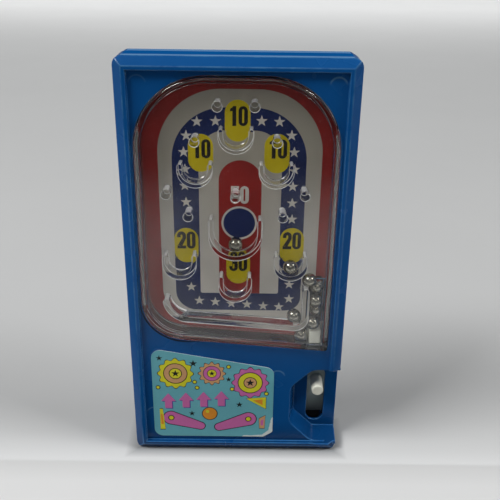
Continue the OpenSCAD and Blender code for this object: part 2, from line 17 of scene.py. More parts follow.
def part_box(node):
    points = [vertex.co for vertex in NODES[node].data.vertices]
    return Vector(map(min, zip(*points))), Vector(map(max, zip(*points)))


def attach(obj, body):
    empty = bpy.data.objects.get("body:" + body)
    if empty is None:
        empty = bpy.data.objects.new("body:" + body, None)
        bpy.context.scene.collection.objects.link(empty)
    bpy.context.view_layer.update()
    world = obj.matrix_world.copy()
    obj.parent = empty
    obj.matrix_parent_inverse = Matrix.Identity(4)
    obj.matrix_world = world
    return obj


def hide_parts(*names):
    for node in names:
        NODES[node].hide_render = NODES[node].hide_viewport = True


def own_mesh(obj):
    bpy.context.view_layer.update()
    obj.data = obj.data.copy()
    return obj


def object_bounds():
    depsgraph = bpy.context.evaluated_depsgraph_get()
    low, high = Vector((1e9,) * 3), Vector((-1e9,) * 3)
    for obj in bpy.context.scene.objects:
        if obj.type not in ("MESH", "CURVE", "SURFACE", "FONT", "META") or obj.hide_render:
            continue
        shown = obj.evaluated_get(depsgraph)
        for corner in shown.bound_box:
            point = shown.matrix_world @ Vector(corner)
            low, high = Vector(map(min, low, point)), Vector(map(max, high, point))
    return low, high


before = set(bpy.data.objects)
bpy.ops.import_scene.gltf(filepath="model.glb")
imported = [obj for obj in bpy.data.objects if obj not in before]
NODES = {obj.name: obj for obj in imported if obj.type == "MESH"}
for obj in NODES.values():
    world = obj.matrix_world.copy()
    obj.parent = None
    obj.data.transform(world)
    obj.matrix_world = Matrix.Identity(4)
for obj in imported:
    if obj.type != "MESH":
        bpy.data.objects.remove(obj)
CAD_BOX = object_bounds()
MM = 0.001

# ---------------------------------------------------------------- camera
# Fitted to the edges of the case in the photograph; lens and sensor are in mm
PITCH, YAW, ROLL = math.radians(24.52), math.radians(0.19), math.radians(-0.80)
CAMERA_AT = (0.0035, -0.2088, 0.1718)
LENS, SENSOR = 50.4, 36


def add_camera():
    """A camera that looks along Y, turned by the yaw, tilted down by the pitch and then rolled."""
    cp, sp, cy, sy = math.cos(PITCH), math.sin(PITCH), math.cos(YAW), math.sin(YAW)
    ahead = Vector((sy * cp, cy * cp, -sp))
    level = Vector((cy, -sy, 0))
    below = ahead.cross(level)
    cr, sr = math.cos(ROLL), math.sin(ROLL)
    right, down = cr * level + sr * below, -sr * level + cr * below
    data = bpy.data.cameras.new("camera")
    data.lens, data.sensor_width = LENS, SENSOR
    data.clip_start, data.clip_end = 0.01, 20
    camera = bpy.data.objects.new("camera", data)
    bpy.context.scene.collection.objects.link(camera)
    turn = Matrix((right, -down, -ahead)).transposed().to_4x4()
    camera.matrix_world = Matrix.Translation(CAMERA_AT) @ turn
    bpy.context.scene.camera = camera


add_camera()


# ---------------------------------------------------------------- materials
class Nodes:
    """A small builder of a material's nodes. A value is a number, a colour or another node's output."""

    def __init__(self, name):
        self.mat = bpy.data.materials.new(name)
        self.mat.use_nodes = True
        self.tree = self.mat.node_tree
        self.tree.nodes.clear()
        self.coords = self.node("ShaderNodeTexCoord").outputs["Object"]
        self.split = None

    def node(self, kind, **settings):
        n = self.tree.nodes.new(kind)
        for key, value in settings.items():
            setattr(n, key, value)
        return n

    def put(self, socket, value):
        """Sets a socket to a value, or links it where the value is another node's output."""
        if isinstance(value, bpy.types.NodeSocket):
            self.tree.links.new(value, socket)
        elif socket.type == "RGBA":
            socket.default_value = (*value, 1)
        else:
            socket.default_value = value

    def along(self, axis):
        """The place along an axis of the piece, in metres."""
        if self.split is None:
            self.split = self.node("ShaderNodeSeparateXYZ")
            self.put(self.split.inputs[0], self.coords)
        return self.split.outputs[axis]

    def noise(self, scale, detail, rough, stretch=None):
        """Noise from 0 to 1. stretch is a turn and a scale of its space."""
        n = self.node("ShaderNodeTexNoise")
        self.put(n.inputs["Scale"], scale)
        self.put(n.inputs["Detail"], detail)
        self.put(n.inputs["Roughness"], rough)
        source = self.coords
        if stretch:
            m = self.node("ShaderNodeMapping")
            self.put(m.inputs["Rotation"], stretch[0])
            self.put(m.inputs["Scale"], stretch[1])
            self.put(m.inputs["Vector"], source)
            source = m.outputs["Vector"]
        self.put(n.inputs["Vector"], source)
        return n.outputs["Fac"]

    def ramp(self, fac, stops):
        r = self.node("ShaderNodeValToRGB")
        elements = r.color_ramp.elements
        while len(elements) < len(stops):
            elements.new(0.5)
        for e, (place, color) in zip(elements, stops):
            e.position = place
            e.color = (*color, 1)
        self.put(r.inputs["Fac"], fac)
        return r.outputs["Color"]

    def ranged(self, value, low, high, start, end):
        """Goes from low to high while the value goes from start to end, and stays there beyond."""
        m = self.node("ShaderNodeMapRange")
        self.put(m.inputs["From Min"], start)
        self.put(m.inputs["From Max"], end)
        self.put(m.inputs["To Min"], low)
        self.put(m.inputs["To Max"], high)
        self.put(m.inputs["Value"], value)
        return m.outputs["Result"]

    def mix(self, fac, a, b, mode="MIX"):
        m = self.node("ShaderNodeMix", data_type="RGBA", blend_type=mode)
        self.put(m.inputs[0], fac)
        self.put(m.inputs[6], a)
        self.put(m.inputs[7], b)
        return m.outputs[2]

    def math(self, op, *values):
        m = self.node("ShaderNodeMath", operation=op)
        for socket, value in zip(m.inputs, values):
            self.put(socket, value)
        return m.outputs[0]

    def times(self, *factors):
        product = factors[0]
        for factor in factors[1:]:
            product = self.math("MULTIPLY", product, factor)
        return product

    def bump(self, height, strength, distance):
        b = self.node("ShaderNodeBump")
        self.put(b.inputs["Strength"], strength)
        self.put(b.inputs["Distance"], distance)
        self.put(b.inputs["Height"], height)
        return b.outputs["Normal"]

    def principled(self, color, rough, normal=None, **values):
        p = self.node("ShaderNodeBsdfPrincipled")
        self.put(p.inputs["Base Color"], color)
        self.put(p.inputs["Roughness"], rough)
        if normal is not None:
            self.put(p.inputs["Normal"], normal)
        for key, value in values.items():
            self.put(p.inputs[key.replace("_", " ")], value)
        return p.outputs["BSDF"]

    def mix_shader(self, fac, a, b):
        m = self.node("ShaderNodeMixShader")
        for socket, value in zip(m.inputs, (fac, a, b)):
            self.put(socket, value)
        return m.outputs[0]

    def done(self, surface):
        self.put(self.node("ShaderNodeOutputMaterial").inputs["Surface"], surface)
        return self.mat


def shade(color, share):
    return tuple(min(1.0, c * share) for c in color)


def greyed(color, grey, share):
    return tuple(c + (grey - c) * share for c in color)


def scratches(n, scale, amount, turned=0.0):
    """Fine straight scratches in two directions, as a mask from 0 to 1."""
    total = None
    for turn in (0.35 + turned, -0.6 + turned):
        streak = n.noise(scale, 2.0, 0.6, stretch=((0, turn, 0), (1.0, 1.0, 0.035)))
        line = n.ranged(streak, 0.0, 1.0, 0.74 - amount, 0.80)
        total = line if total is None else n.math("MAXIMUM", total, line)
    return total


def orange_peel(n, broad, fine):
    """The slight unevenness of a moulded face, as a normal."""
    return n.bump(n.math("ADD", n.times(fine, 0.35), n.times(broad, 1.4)), 0.12, 0.4 * MM)


def uneven_gloss(n, broad, rough, more):
    """A roughness that wanders round its value."""
    return n.ranged(broad, rough - 0.05, rough + more, 0.3, 0.7)


def plastic(name, base, rough, specular, traces):
    """Moulded plastic with handling marks in its gloss. traces are functions that add wear, dust, darkening, painted
    shade and painted highlights to the colour.
    """
    n = Nodes(name)
    broad = n.noise(38, 3, 0.55)
    fine = n.noise(900, 2, 0.5)
    color = n.mix(n.ranged(broad, 0, 1, 0.3, 0.7), shade(base, 0.93), shade(base, 1.07))
    marks = scratches(n, 420, 0.0)
    color = n.mix(n.times(marks, 0.35), color, greyed(base, 0.55, 0.2))
    for trace in traces:
        color = trace(n, color, broad)
    gloss = n.math("ADD", uneven_gloss(n, broad, rough, 0.07), n.times(marks, 0.12))
    return n.done(n.principled(color, gloss, orange_peel(n, broad, fine), Specular_IOR_Level=specular))


def edge_wear_and_highlight(n, color, _):
    """Paler in patches on the rounded edges: part wear from handling, part painted highlight where the edges catch the
    light.
    """
    return n.mix(n.ranged(n.noise(120, 4, 0.7), 0.03, 0.64, 0.38, 0.62), color, (0.035, 0.14, 0.29))


def darker_near_foot(n, color, broad):
    """Darker near the foot, with a ragged upper edge."""
    ragged = n.times(n.math("SUBTRACT", broad, 0.5), 12 * MM)
    low_down = n.ranged(n.math("SUBTRACT", n.along("Z"), ragged), 1.0, 0.0, 3 * MM, 13 * MM)
    return n.mix(n.times(low_down, 0.85), color, (0.0012, 0.026, 0.092))


def sink_ring_highlights(n, color, broad):
    """Painted highlights: faint pale arcs on the panel over the upper half of each screw's boss, where the sink marks
    there catch the light.
    """
    radius = 2.5 * MM
    flat = n.node("ShaderNodeVectorMath", operation="MULTIPLY")
    n.put(flat.inputs[0], n.coords)
    n.put(flat.inputs[1], (1, 0, 1))
    rings = 0.0
    for i in range(1, 5):
        middle = sum(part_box(f"screw_{i}"), Vector()) / 2
        far = n.node("ShaderNodeVectorMath", operation="DISTANCE")
        n.put(far.inputs[0], flat.outputs[0])
        n.put(far.inputs[1], (middle.x, 0, middle.z))
        off = n.math("ABSOLUTE", n.math("SUBTRACT", far.outputs["Value"], radius))
        above = n.math("SUBTRACT", n.along("Z"), middle.z)
        arc = n.times(n.ranged(off, 1.0, 0.0, 0.1 * MM, 0.4 * MM), n.ranged(above, 0.0, 1.0, 0.2 * MM, 1.6 * MM))
        rings = n.math("MAXIMUM", rings, arc)
    on_panel = n.ranged(n.along("Y"), 1.0, 0.0, -6.4 * MM, -6.0 * MM)
    return n.mix(n.times(rings, on_panel, n.ranged(broad, 0.10, 0.42, 0.40, 0.56)), color, (0.15, 0.30, 0.40))


def window_gap_shadow(n, color, _):
    """A painted shadow: a dark line on the panel round the window's lower left corner, in the gap the cover leaves."""
    x, z, radius = -17.0 * MM, 60.0 * MM, 14.62 * MM
    legs = [n.math("MINIMUM", n.math("SUBTRACT", n.along(axis), at), 0.0) for axis, at in (("X", x), ("Z", z))]
    far = n.math("SQRT", n.math("ADD", *(n.times(leg, leg) for leg in legs)))
    line = n.ranged(n.math("ABSOLUTE", n.math("SUBTRACT", far, radius)), 1.0, 0.0, 0.2 * MM, 0.4 * MM)
    on_the_left = n.ranged(n.along("X"), 1.0, 0.0, -20 * MM, -4 * MM)
    fainter_above = n.ranged(n.along("Z"), 1.0, 0.3, z, z + 4 * MM)
    ends_above = n.ranged(n.along("Z"), 1.0, 0.0, z + 12 * MM, z + 18 * MM)
    return n.mix(n.times(line, on_the_left, fainter_above, ends_above), color, (0.003, 0.004, 0.006))


def rim_highlights(n, color, _):
    """Painted highlights: paler along the front and back edges of the top, where their rounded edges catch the light.
    """
    front_rim = n.ranged(n.along("Y"), 1.0, 0.0, -4.8 * MM, -3.0 * MM)
    back_rim = n.ranged(n.along("Y"), 0.0, 0.8, 3.2 * MM, 5.0 * MM)
    return n.mix(n.math("ADD", front_rim, back_rim), color, (0.10, 0.20, 0.35))


def inner_shade_and_dust(n, color, broad):
    """Dark grey-brown within the walls of the back shell: part dust, part painted shade inside the case."""
    within = n.times(
        n.ranged(n.along("Y"), 1.0, 0.0, 6.6 * MM, 6.9 * MM),
        n.ranged(n.math("ABSOLUTE", n.along("X")), 1.0, 0.0, 34.0 * MM, 34.3 * MM),
        n.ranged(n.along("Z"), 0.0, 1.0, 1.8 * MM, 2.2 * MM),
        n.ranged(n.along("Z"), 1.0, 0.0, 137.0 * MM, 137.4 * MM))
    return n.mix(n.times(within, n.ranged(broad, 0.82, 0.98, 0.3, 0.7)), color, (0.045, 0.040, 0.034))


def ink(name, base, rough, mottle, speck=0.0, top_shade=None):
    """Printed ink or coated card with a little mottle, and with pale specks where it is thin.

    Its colour near the top, where given, is painted shade: the case's rim keeps light off the top of the card."""
    n = Nodes(name)
    broad = n.noise(70, 4, 0.6)
    fine = n.noise(1500, 2, 0.6)
    cloud = n.math("ADD", n.times(broad, 0.7), n.times(fine, 0.3))
    color = n.mix(n.ranged(cloud, 0, 1, 0.36, 0.64), shade(base, 1 - mottle), shade(base, 1 + mottle))
    if speck:
        color = n.mix(n.ranged(fine, 0.0, speck, 0.66, 0.74), color, greyed(base, 0.6, 0.5))
    if top_shade:
        color = n.mix(n.ranged(n.along("Z"), 0.0, 1.0, 74 * MM, 108 * MM), color, top_shade)
    normal = n.bump(fine, 0.10, 0.1 * MM)
    return n.done(n.principled(color, uneven_gloss(n, broad, rough, 0.08), normal, Specular_IOR_Level=0.12))


def plunger_plastic(name, base, inside_shade, rough):
    """Ivory plastic with painted shade on the parts that run inside the case, darkest low in the slot."""
    n = Nodes(name)
    broad = n.noise(60, 3, 0.55)
    fine = n.noise(700, 2, 0.5)
    color = n.mix(n.ranged(broad, 0, 1, 0.3, 0.7), shade(base, 0.92), base)
    layers = [(place, shade(inside_shade, share)) for place, share in ((0.0, 0.15), (0.35, 1.1), (0.6, 1.9), (1.0, 0.8))]
    shade_ramp = n.ramp(n.ranged(n.along("Z"), 0.0, 1.0, 12 * MM, 32 * MM), layers)
    deep = n.ranged(n.math("ADD", n.along("Y"), n.times(broad, 1 * MM)), 0.0, 1.0, 0.0, 1.6 * MM)
    color = n.mix(deep, color, shade_ramp)
    return n.done(n.principled(color, uneven_gloss(n, broad, rough, 0.08), orange_peel(n, broad, fine)))


def metal(name, base, rough, bump=0.05):
    """Bright metal with fine scratches."""
    n = Nodes(name)
    broad = n.noise(320, 3, 0.6)
    fine = n.noise(2400, 2, 0.6)
    marks = scratches(n, 1400, 0.06, 0.4)
    color = n.mix(n.ranged(broad, 0, 1, 0.3, 0.7), shade(base, 0.9), base)
    gloss = n.math("ADD", n.ranged(fine, rough - 0.03, rough + 0.06, 0.3, 0.7), n.times(marks, 0.08))
    return n.done(n.principled(color, gloss, n.bump(n.math("ADD", fine, marks), bump, 0.05 * MM), Metallic=1.0))


def clear(name, tint, rough, milk=0.0):
    """Clear moulded plastic, with that share of milky white in it.

    Rays from the lamps pass straight through it with a little loss, so that what lies behind is lit."""
    ior = 1.49
    n = Nodes(name)
    marks = scratches(n, 300, 0.015)
    haze = n.noise(60, 3, 0.6)
    gloss = n.math("ADD", n.ranged(haze, rough * 0.5, rough * 1.6, 0.35, 0.7), n.times(marks, 0.12))
    normal = n.bump(n.math("ADD", n.times(haze, 3.0), marks), 0.02, 0.2 * MM)
    glass = n.principled(tint, gloss, normal, Transmission_Weight=1.0 - milk, IOR=ior, Specular_IOR_Level=0.3)
    see = n.node("ShaderNodeBsdfTransparent")
    loss = n.node("ShaderNodeFresnel")
    n.put(loss.inputs["IOR"], ior)
    n.put(see.inputs["Color"], n.mix(n.times(loss.outputs[0], 0.7), tint, (0.0, 0.0, 0.0)))
    from_lamp = n.node("ShaderNodeLightPath").outputs["Is Shadow Ray"]
    return n.done(n.mix_shader(from_lamp, glass, see.outputs[0]))


BLUE = (0.0024, 0.063, 0.217)
case_blue = plastic("case_blue", BLUE, 0.24, 0.2, [darker_near_foot, sink_ring_highlights, window_gap_shadow])
edge_blue = plastic("edge_blue", BLUE, 0.22, 0.35, [edge_wear_and_highlight])
back_blue = plastic("back_blue", BLUE, 0.24, 0.06, [inner_shade_and_dust])
top_blue = plastic("top_blue", BLUE, 0.45, 0.0, [rim_highlights])
clear_plastic = clear("clear_plastic", (0.99, 0.99, 0.985), 0.03)
clear_edge = clear("clear_edge", (0.97, 0.97, 0.96), 0.14, 0.52)
ivory = plunger_plastic("ivory_plastic", (0.66, 0.66, 0.57), (0.20, 0.24, 0.235), 0.36)
ball_steel = metal("ball_steel", (0.47, 0.45, 0.385), 0.075)
wire_steel = metal("spring_steel", (0.50, 0.51, 0.53), 0.28)
screw_steel = metal("screw_steel", (0.55, 0.55, 0.57), 0.3, 0.12)
# The card's white turns darker towards the top: painted shade.
CARD_WHITE = ink("card_white", (0.52, 0.495, 0.45), 0.45, 0.05, top_shade=(0.325, 0.30, 0.25))
CARD_PALE = ink("card_pale", (0.52, 0.495, 0.45), 0.45, 0.05)
CARD_RED = ink("card_red", (0.25, 0.018, 0.015), 0.42, 0.12, 0.2)
CARD_NAVY = ink("card_navy", (0.012, 0.021, 0.085), 0.42, 0.14, 0.12)
CARD_YELLOW = ink("card_yellow", (0.50, 0.40, 0.009), 0.42, 0.08)
CARD_BLACK = ink("card_black", (0.018, 0.016, 0.014), 0.4, 0.2)
CARD_BACK = ink("card_back", (0.42, 0.39, 0.33), 0.7, 0.08)
LABEL_TEAL = ink("label_teal", (0.125, 0.36, 0.41), 0.36, 0.06)
LABEL_PALE = ink("label_pale", (0.55, 0.60, 0.58), 0.5, 0.06)
LABEL_PINK = ink("label_pink", (0.50, 0.13, 0.33), 0.36, 0.06)
LABEL_SHADE = ink("label_shade", (0.07, 0.06, 0.26), 0.36, 0.06)
LABEL_ORANGE = ink("label_orange", (0.62, 0.24, 0.03), 0.36, 0.08)
LABEL_YELLOW = ink("label_yellow", (0.58, 0.55, 0.03), 0.36, 0.06)
LABEL_TAN = ink("label_tan", (0.52, 0.29, 0.14), 0.36, 0.06)
LABEL_BLACK = ink("label_black", (0.015, 0.017, 0.016), 0.36, 0.1)


# ---------------------------------------------------------------- shared mesh helpers
def to_mesh(bm, name, *materials):
    mesh = bpy.data.meshes.new(name)
    bm.to_mesh(mesh)
    bm.free()
    for material in materials:
        mesh.materials.append(material)
    return mesh


def add_object(name, data):
    o = bpy.data.objects.new(name, data)
    bpy.context.scene.collection.objects.link(o)
    return o


def link_object(name, mesh, body):
    o = add_object(name, mesh)
    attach(o, body)
    return o


def smooth(mesh, angle):
    """Smooth shading with creases at edges sharper than the angle, in degrees."""
    for p in mesh.polygons:
        p.use_smooth = True
    mesh.set_sharp_from_angle(angle=math.radians(angle))


def cad_bmesh(node):
    """The node's mesh with its seams closed and its flat faces whole."""
    bm = bmesh.new()
    bm.from_mesh(NODES[node].data)
    bmesh.ops.remove_doubles(bm, verts=bm.verts, dist=0.002 * MM)
    bmesh.ops.dissolve_limit(bm, angle_limit=math.radians(0.6), verts=bm.verts, edges=bm.edges)
    bmesh.ops.recalc_face_normals(bm, faces=bm.faces)
    return bm


def sharp_edges(bm):
    """The edges where the surface bends by more than 28 degrees."""
    return [e for e in bm.edges if len(e.link_faces) == 2 and e.calc_face_angle(0) > math.radians(28)]


def lies_at(e, y):
    return all(abs(v.co.y - y) < 0.02 * MM for v in e.verts)


def edges_at(edges):
    """The edges that meet at each vertex."""
    at = {}
    for e in edges:
        for v in e.verts:
            at.setdefault(v, []).append(e)
    return at


def refill(mesh):
    """Cuts each many-sided face into clean triangles.

    Where a flat face runs all round a hole or a post, the rounding can leave its outline crossing itself, and a plain
    cut of it shows as a dark wedge."""
    bm = bmesh.new()
    bm.from_mesh(mesh)
    old = [f for f in bm.faces if len(f.verts) > 4 or not all(loop.is_convex for loop in f.loops)]
    for f in old:
        corners, origin, side = list(f.verts), f.verts[0].co.copy(), f.normal.orthogonal().normalized()
        up = f.normal.cross(side)
        flat = [Vector(((v.co - origin).dot(side), (v.co - origin).dot(up))) / MM for v in corners]
        places, _, triangles, sources, _, _ = delaunay_2d_cdt(flat, [], [list(range(len(flat)))], 1, 1e-5)
        verts = []
        for place, source in zip(places, sources):
            crossing = origin + (side * place.x + up * place.y) * MM
            verts.append(corners[source[0]] if source else bm.verts.new(crossing))
        for t in triangles:
            three = [verts[i] for i in t]
            if len(set(three)) == 3 and not bm.faces.get(three):
                bm.faces.new(three).material_index = f.material_index
    bmesh.ops.delete(bm, geom=old, context="FACES_ONLY")
    bmesh.ops.delete(bm, geom=[e for e in bm.edges if not e.link_faces], context="EDGES")
    bm.to_mesh(mesh)
    bm.free()


def apply_modifiers(o):
    dg = bpy.context.evaluated_depsgraph_get()
    mesh = bpy.data.meshes.new_from_object(o.evaluated_get(dg))
    o.modifiers.clear()
    o.data = mesh


def even_normals(o):
    """Lets each flat face keep its own direction, so that only the rounded edges bend the light."""
    mod = o.modifiers.new("even", "WEIGHTED_NORMAL")
    mod.mode, mod.weight, mod.keep_sharp = "FACE_AREA", 100, True
    apply_modifiers(o)


def rounded_copy(node, body, material, width, segments=2, edge=None):
    """A copy of the node with its edges rounded by width, in mm. edge is the roundings' material, where it differs."""
    bm = cad_bmesh(node)
    weight = bm.edges.layers.float.new("bevel_weight_edge")
    for e in sharp_edges(bm):
        e[weight] = 1.0
    mesh = to_mesh(bm, node + "_look", *([material, edge] if edge else [material]))
    o = link_object(node + "_look", mesh, body)
    mod = o.modifiers.new("round", "BEVEL")
    mod.limit_method = "WEIGHT"
    mod.width, mod.segments = width * MM, segments
    mod.use_clamp_overlap = mod.harden_normals = False
    mod.miter_outer = "MITER_SHARP"
    mod.material = 1 if edge else -1
    apply_modifiers(o)
    refill(o.data)
    smooth(o.data, 35)
    even_normals(o)
    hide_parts(node)
    return o


# ---------------------------------------------------------------- case
def dull_top(o):
    """The top is seen almost edge on, where even faint gloss mirrors the backdrop, so it gets its own material."""
    o.data.materials.append(top_blue)
    for face in o.data.polygons:
        if face.normal.z > 0.99 and face.center.z > CAD_BOX[1].z - 0.5 * MM:
            face.material_index = len(o.data.materials) - 1


dull_top(rounded_copy("front_shell", "case", case_blue, 0.28, 3, edge_blue))
dull_top(rounded_copy("back_shell", "case", back_blue, 0.2, 2, edge_blue))


# ---------------------------------------------------------------- clear cover
def biggest_loop(edges):
    """Of the linked chains of edges, the one that spans most."""
    left, best, best_size = set(edges), set(), 0
    at = edges_at(edges)
    while left:
        chain, todo = set(), [left.pop()]
        while todo:
            e = todo.pop()
            chain.add(e)
            for v in e.verts:
                for f in at[v]:
                    if f in left:
                        left.discard(f)
                        todo.append(f)
        xs = [v.co.x for e in chain for v in e.verts]
        if max(xs) - min(xs) > best_size:
            best, best_size = chain, max(xs) - min(xs)
    return best


def round_edges(bm, edges, width, segments, material):
    """Rounds the edges by width, in mm."""
    bmesh.ops.bevel(
        bm, geom=[e for e in edges if e.is_valid], offset=width * MM, offset_type="OFFSET", segments=segments,
        profile=0.5, affect="EDGES", clamp_overlap=False, material=material)


def cover_piece():
    """The cover with rounded edges. The small ones on its pegs, cups and rail, and their end faces, are milky."""
    plain, milky = -1, 1  # the same material as next to the edge, and the index of the milky one
    bm = cad_bmesh("clear_cover")
    face_y = min(v.co.y for v in bm.verts)
    edges = sharp_edges(bm)
    rim = [e for e in edges if all(abs(v.co.y - face_y) < 0.01 * MM for v in e.verts)]
    inside_rim = biggest_loop([e for e in edges if lies_at(e, face_y + 1.5 * MM)])
    inner = [e for e in edges if e in inside_rim]
    x0, x1, z0, z1 = (f(v.co[k] for v in bm.verts) for k in (0, 2) for f in (min, max))
    wall = 2.2 * MM  # the outer wall, whose own edges stay as they are

    def within(e):
        return all(x0 + wall < v.co.x < x1 - wall and z0 + wall < v.co.z < z1 - wall for v in e.verts)

    def across(e):
        return abs(e.verts[0].co.y - e.verts[1].co.y) > 2 * MM

    for f in bm.faces:
        ends = [e for e in f.edges if across(e) and e.calc_face_angle(0) > math.radians(55)]
        end_face = len(ends) == 2 and f.calc_area() < 12 * MM * MM
        top_facet = f.calc_area() < 2.6 * MM * MM and any(across(e) for e in f.edges)
        if f.normal.z > 0.7 and all(within(e) for e in f.edges) and (end_face or top_facet):
            f.material_index = milky
    small = [e for e in edges if e not in rim and e not in inner and within(e)]
    round_edges(bm, small, 0.16, 2, milky)
    round_edges(bm, inner, 0.3, 2, plain)
    round_edges(bm, rim, 0.5, 4, plain)
    mesh = to_mesh(bm, "clear_cover_look", clear_plastic, clear_edge)
    refill(mesh)
    o = link_object("clear_cover_look", mesh, "case")
    smooth(o.data, 40)
    even_normals(o)
    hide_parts("clear_cover")


cover_piece()


# ---------------------------------------------------------------- outlines of what is printed
def polar(x, z, r, degrees):
    return (x + r * math.cos(math.radians(degrees)), z + r * math.sin(math.radians(degrees)))


def circle(x, z, r, start=0, end=360, steps=None):
    """Points round a circle, or along an arc of it from start to end, in degrees."""
    steps = steps or max(8, int(abs(end - start) / 7.5))
    count = steps if abs(end - start) >= 360 else steps + 1
    return [polar(x, z, r, start + (end - start) * i / steps) for i in range(count)]


def rounded(x0, x1, z0, z1, tl, tr, br, bl):
    """A rectangle with its own radius at each corner."""
    points = []
    corners = ((x1 - tr, z1 - tr, tr), (x0 + tl, z1 - tl, tl), (x0 + bl, z0 + bl, bl), (x1 - br, z0 + br, br))
    for k, (x, z, r) in enumerate(corners):
        points += circle(x, z, r, 90 * k, 90 * k + 90, max(2, int(6 + r))) if r > 0 else [(x, z)]
    return points


def box(x0, x1, z0, z1):
    return rounded(x0, x1, z0, z1, 0, 0, 0, 0)


def stadium(x0, x1, z0, z1):
    r = (x1 - x0) / 2
    return rounded(x0, x1, z0, z1, r, r, r, r)


def star(x, z, r):
    return [polar(x, z, r if i % 2 == 0 else r * 0.4, 90 + 36 * i) for i in range(10)]


def frilled(x, z, r, depth):
    """A round outline with twelve waves in its edge."""
    return [polar(x, z, r + depth * math.cos(math.radians(a * 12)), a) for a in range(0, 360, 4)]


def scaled(loop, x, z, by_x, by_z):
    """The loop scaled about (x, z)."""
    return [(x + (a - x) * by_x, z + (b - z) * by_z) for a, b in loop]


# ---------------------------------------------------------------- printed plates
def inside(points, loop):
    """Which of the points lie in the loop, by crossings."""
    p = np.asarray(loop, float)
    q = np.roll(p, -1, 0)
    x, z = points[:, 0:1], points[:, 1:2]
    spans = (p[:, 1] > z) != (q[:, 1] > z)
    with np.errstate(divide="ignore", invalid="ignore"):
        at = p[:, 0] + (z - p[:, 1]) * (q[:, 0] - p[:, 0]) / (q[:, 1] - p[:, 1])
    return (np.sum(spans & (x < at), 1) % 2).astype(bool)


def face_loops(node, y):
    """The outlines of the node's flat face at that depth."""
    bm = cad_bmesh(node)
    flat = {f for f in bm.faces if all(abs(v.co.y - y) < 0.02 * MM for v in f.verts)}
    left = [e for e in bm.edges if lies_at(e, y) and sum(f in flat for f in e.link_faces) == 1]
    at, loops = edges_at(left), []
    while left:
        first, here = left.pop(0).verts
        loop = [first]
        while here is not first:
            loop.append(here)
            e = next(f for f in at[here] if f in left)
            left.remove(e)
            here = e.other_vert(here)
        loops.append([(v.co.x / MM, v.co.z / MM) for v in loop])
    bm.free()
    return loops


def printed_plate(name, node, body, shapes, edge_material):
    """A plate with the node's outline and depth, whose front is cut into the printed shapes.

    shapes holds (loops to add, loops to cut, material), the last on top."""
    lo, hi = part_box(node)
    y0, y1 = lo.y, hi.y
    outlines = face_loops(node, y0)
    points, edges = [], []
    for loop in outlines + [l for add, cut, _ in shapes for l in add + cut]:
        start = len(points)
        points += loop
        edges += [(start + i, start + (i + 1) % len(loop)) for i in range(len(loop))]
    places, _, triangles, *_ = delaunay_2d_cdt([Vector(p) for p in points], edges, [], 0, 1e-5)
    centres = np.array([np.mean([places[i] for i in t], 0) for t in triangles])
    on_plate = sum(inside(centres, loop).astype(int) for loop in outlines) % 2
    materials, chosen = [edge_material], np.zeros(len(triangles), int)
    for add, cut, material in shapes:
        mask = np.any([inside(centres, loop) for loop in add], 0)
        for loop in cut:
            mask &= ~inside(centres, loop)
        if material not in materials:
            materials.append(material)
        chosen[mask] = materials.index(material)
    bm = bmesh.new()
    front = {}
    for t, index, keep in zip(triangles, chosen, on_plate):
        if keep:
            for i in t:
                if i not in front:
                    front[i] = bm.verts.new((places[i][0] * MM, y0, places[i][1] * MM))
            bm.faces.new([front[i] for i in t]).material_index = int(index)
    bmesh.ops.recalc_face_normals(bm, faces=bm.faces)
    if sum(f.normal.y for f in bm.faces) > 0:
        bmesh.ops.reverse_faces(bm, faces=bm.faces)
    bmesh.ops.dissolve_limit(bm, angle_limit=0.001, verts=bm.verts, edges=bm.edges, delimit={"MATERIAL"})
    made = bmesh.ops.extrude_edge_only(bm, edges=[e for e in bm.edges if e.is_boundary])["geom"]
    for v in made:
        if isinstance(v, bmesh.types.BMVert):
            v.co.y = y1
    closing = [e for e in made if isinstance(e, bmesh.types.BMEdge) and e.is_boundary]
    bmesh.ops.triangle_fill(bm, use_beauty=True, edges=closing)
    for f in bm.faces:
        if any(abs(v.co.y - y1) < 0.0001 * MM for v in f.verts):
            f.material_index = 0
    bmesh.ops.recalc_face_normals(bm, faces=bm.faces)
    o = link_object(name, to_mesh(bm, name, *materials), body)
    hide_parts(node)


# ---------------------------------------------------------------- card
# Plain heavy condensed figures: the size of their cell, the thickness of their strokes and their spacing
FIGURE_W, FIGURE_H, STROKE, FIGURE_PITCH = 3.0, 6.4, 1.2, 3.25


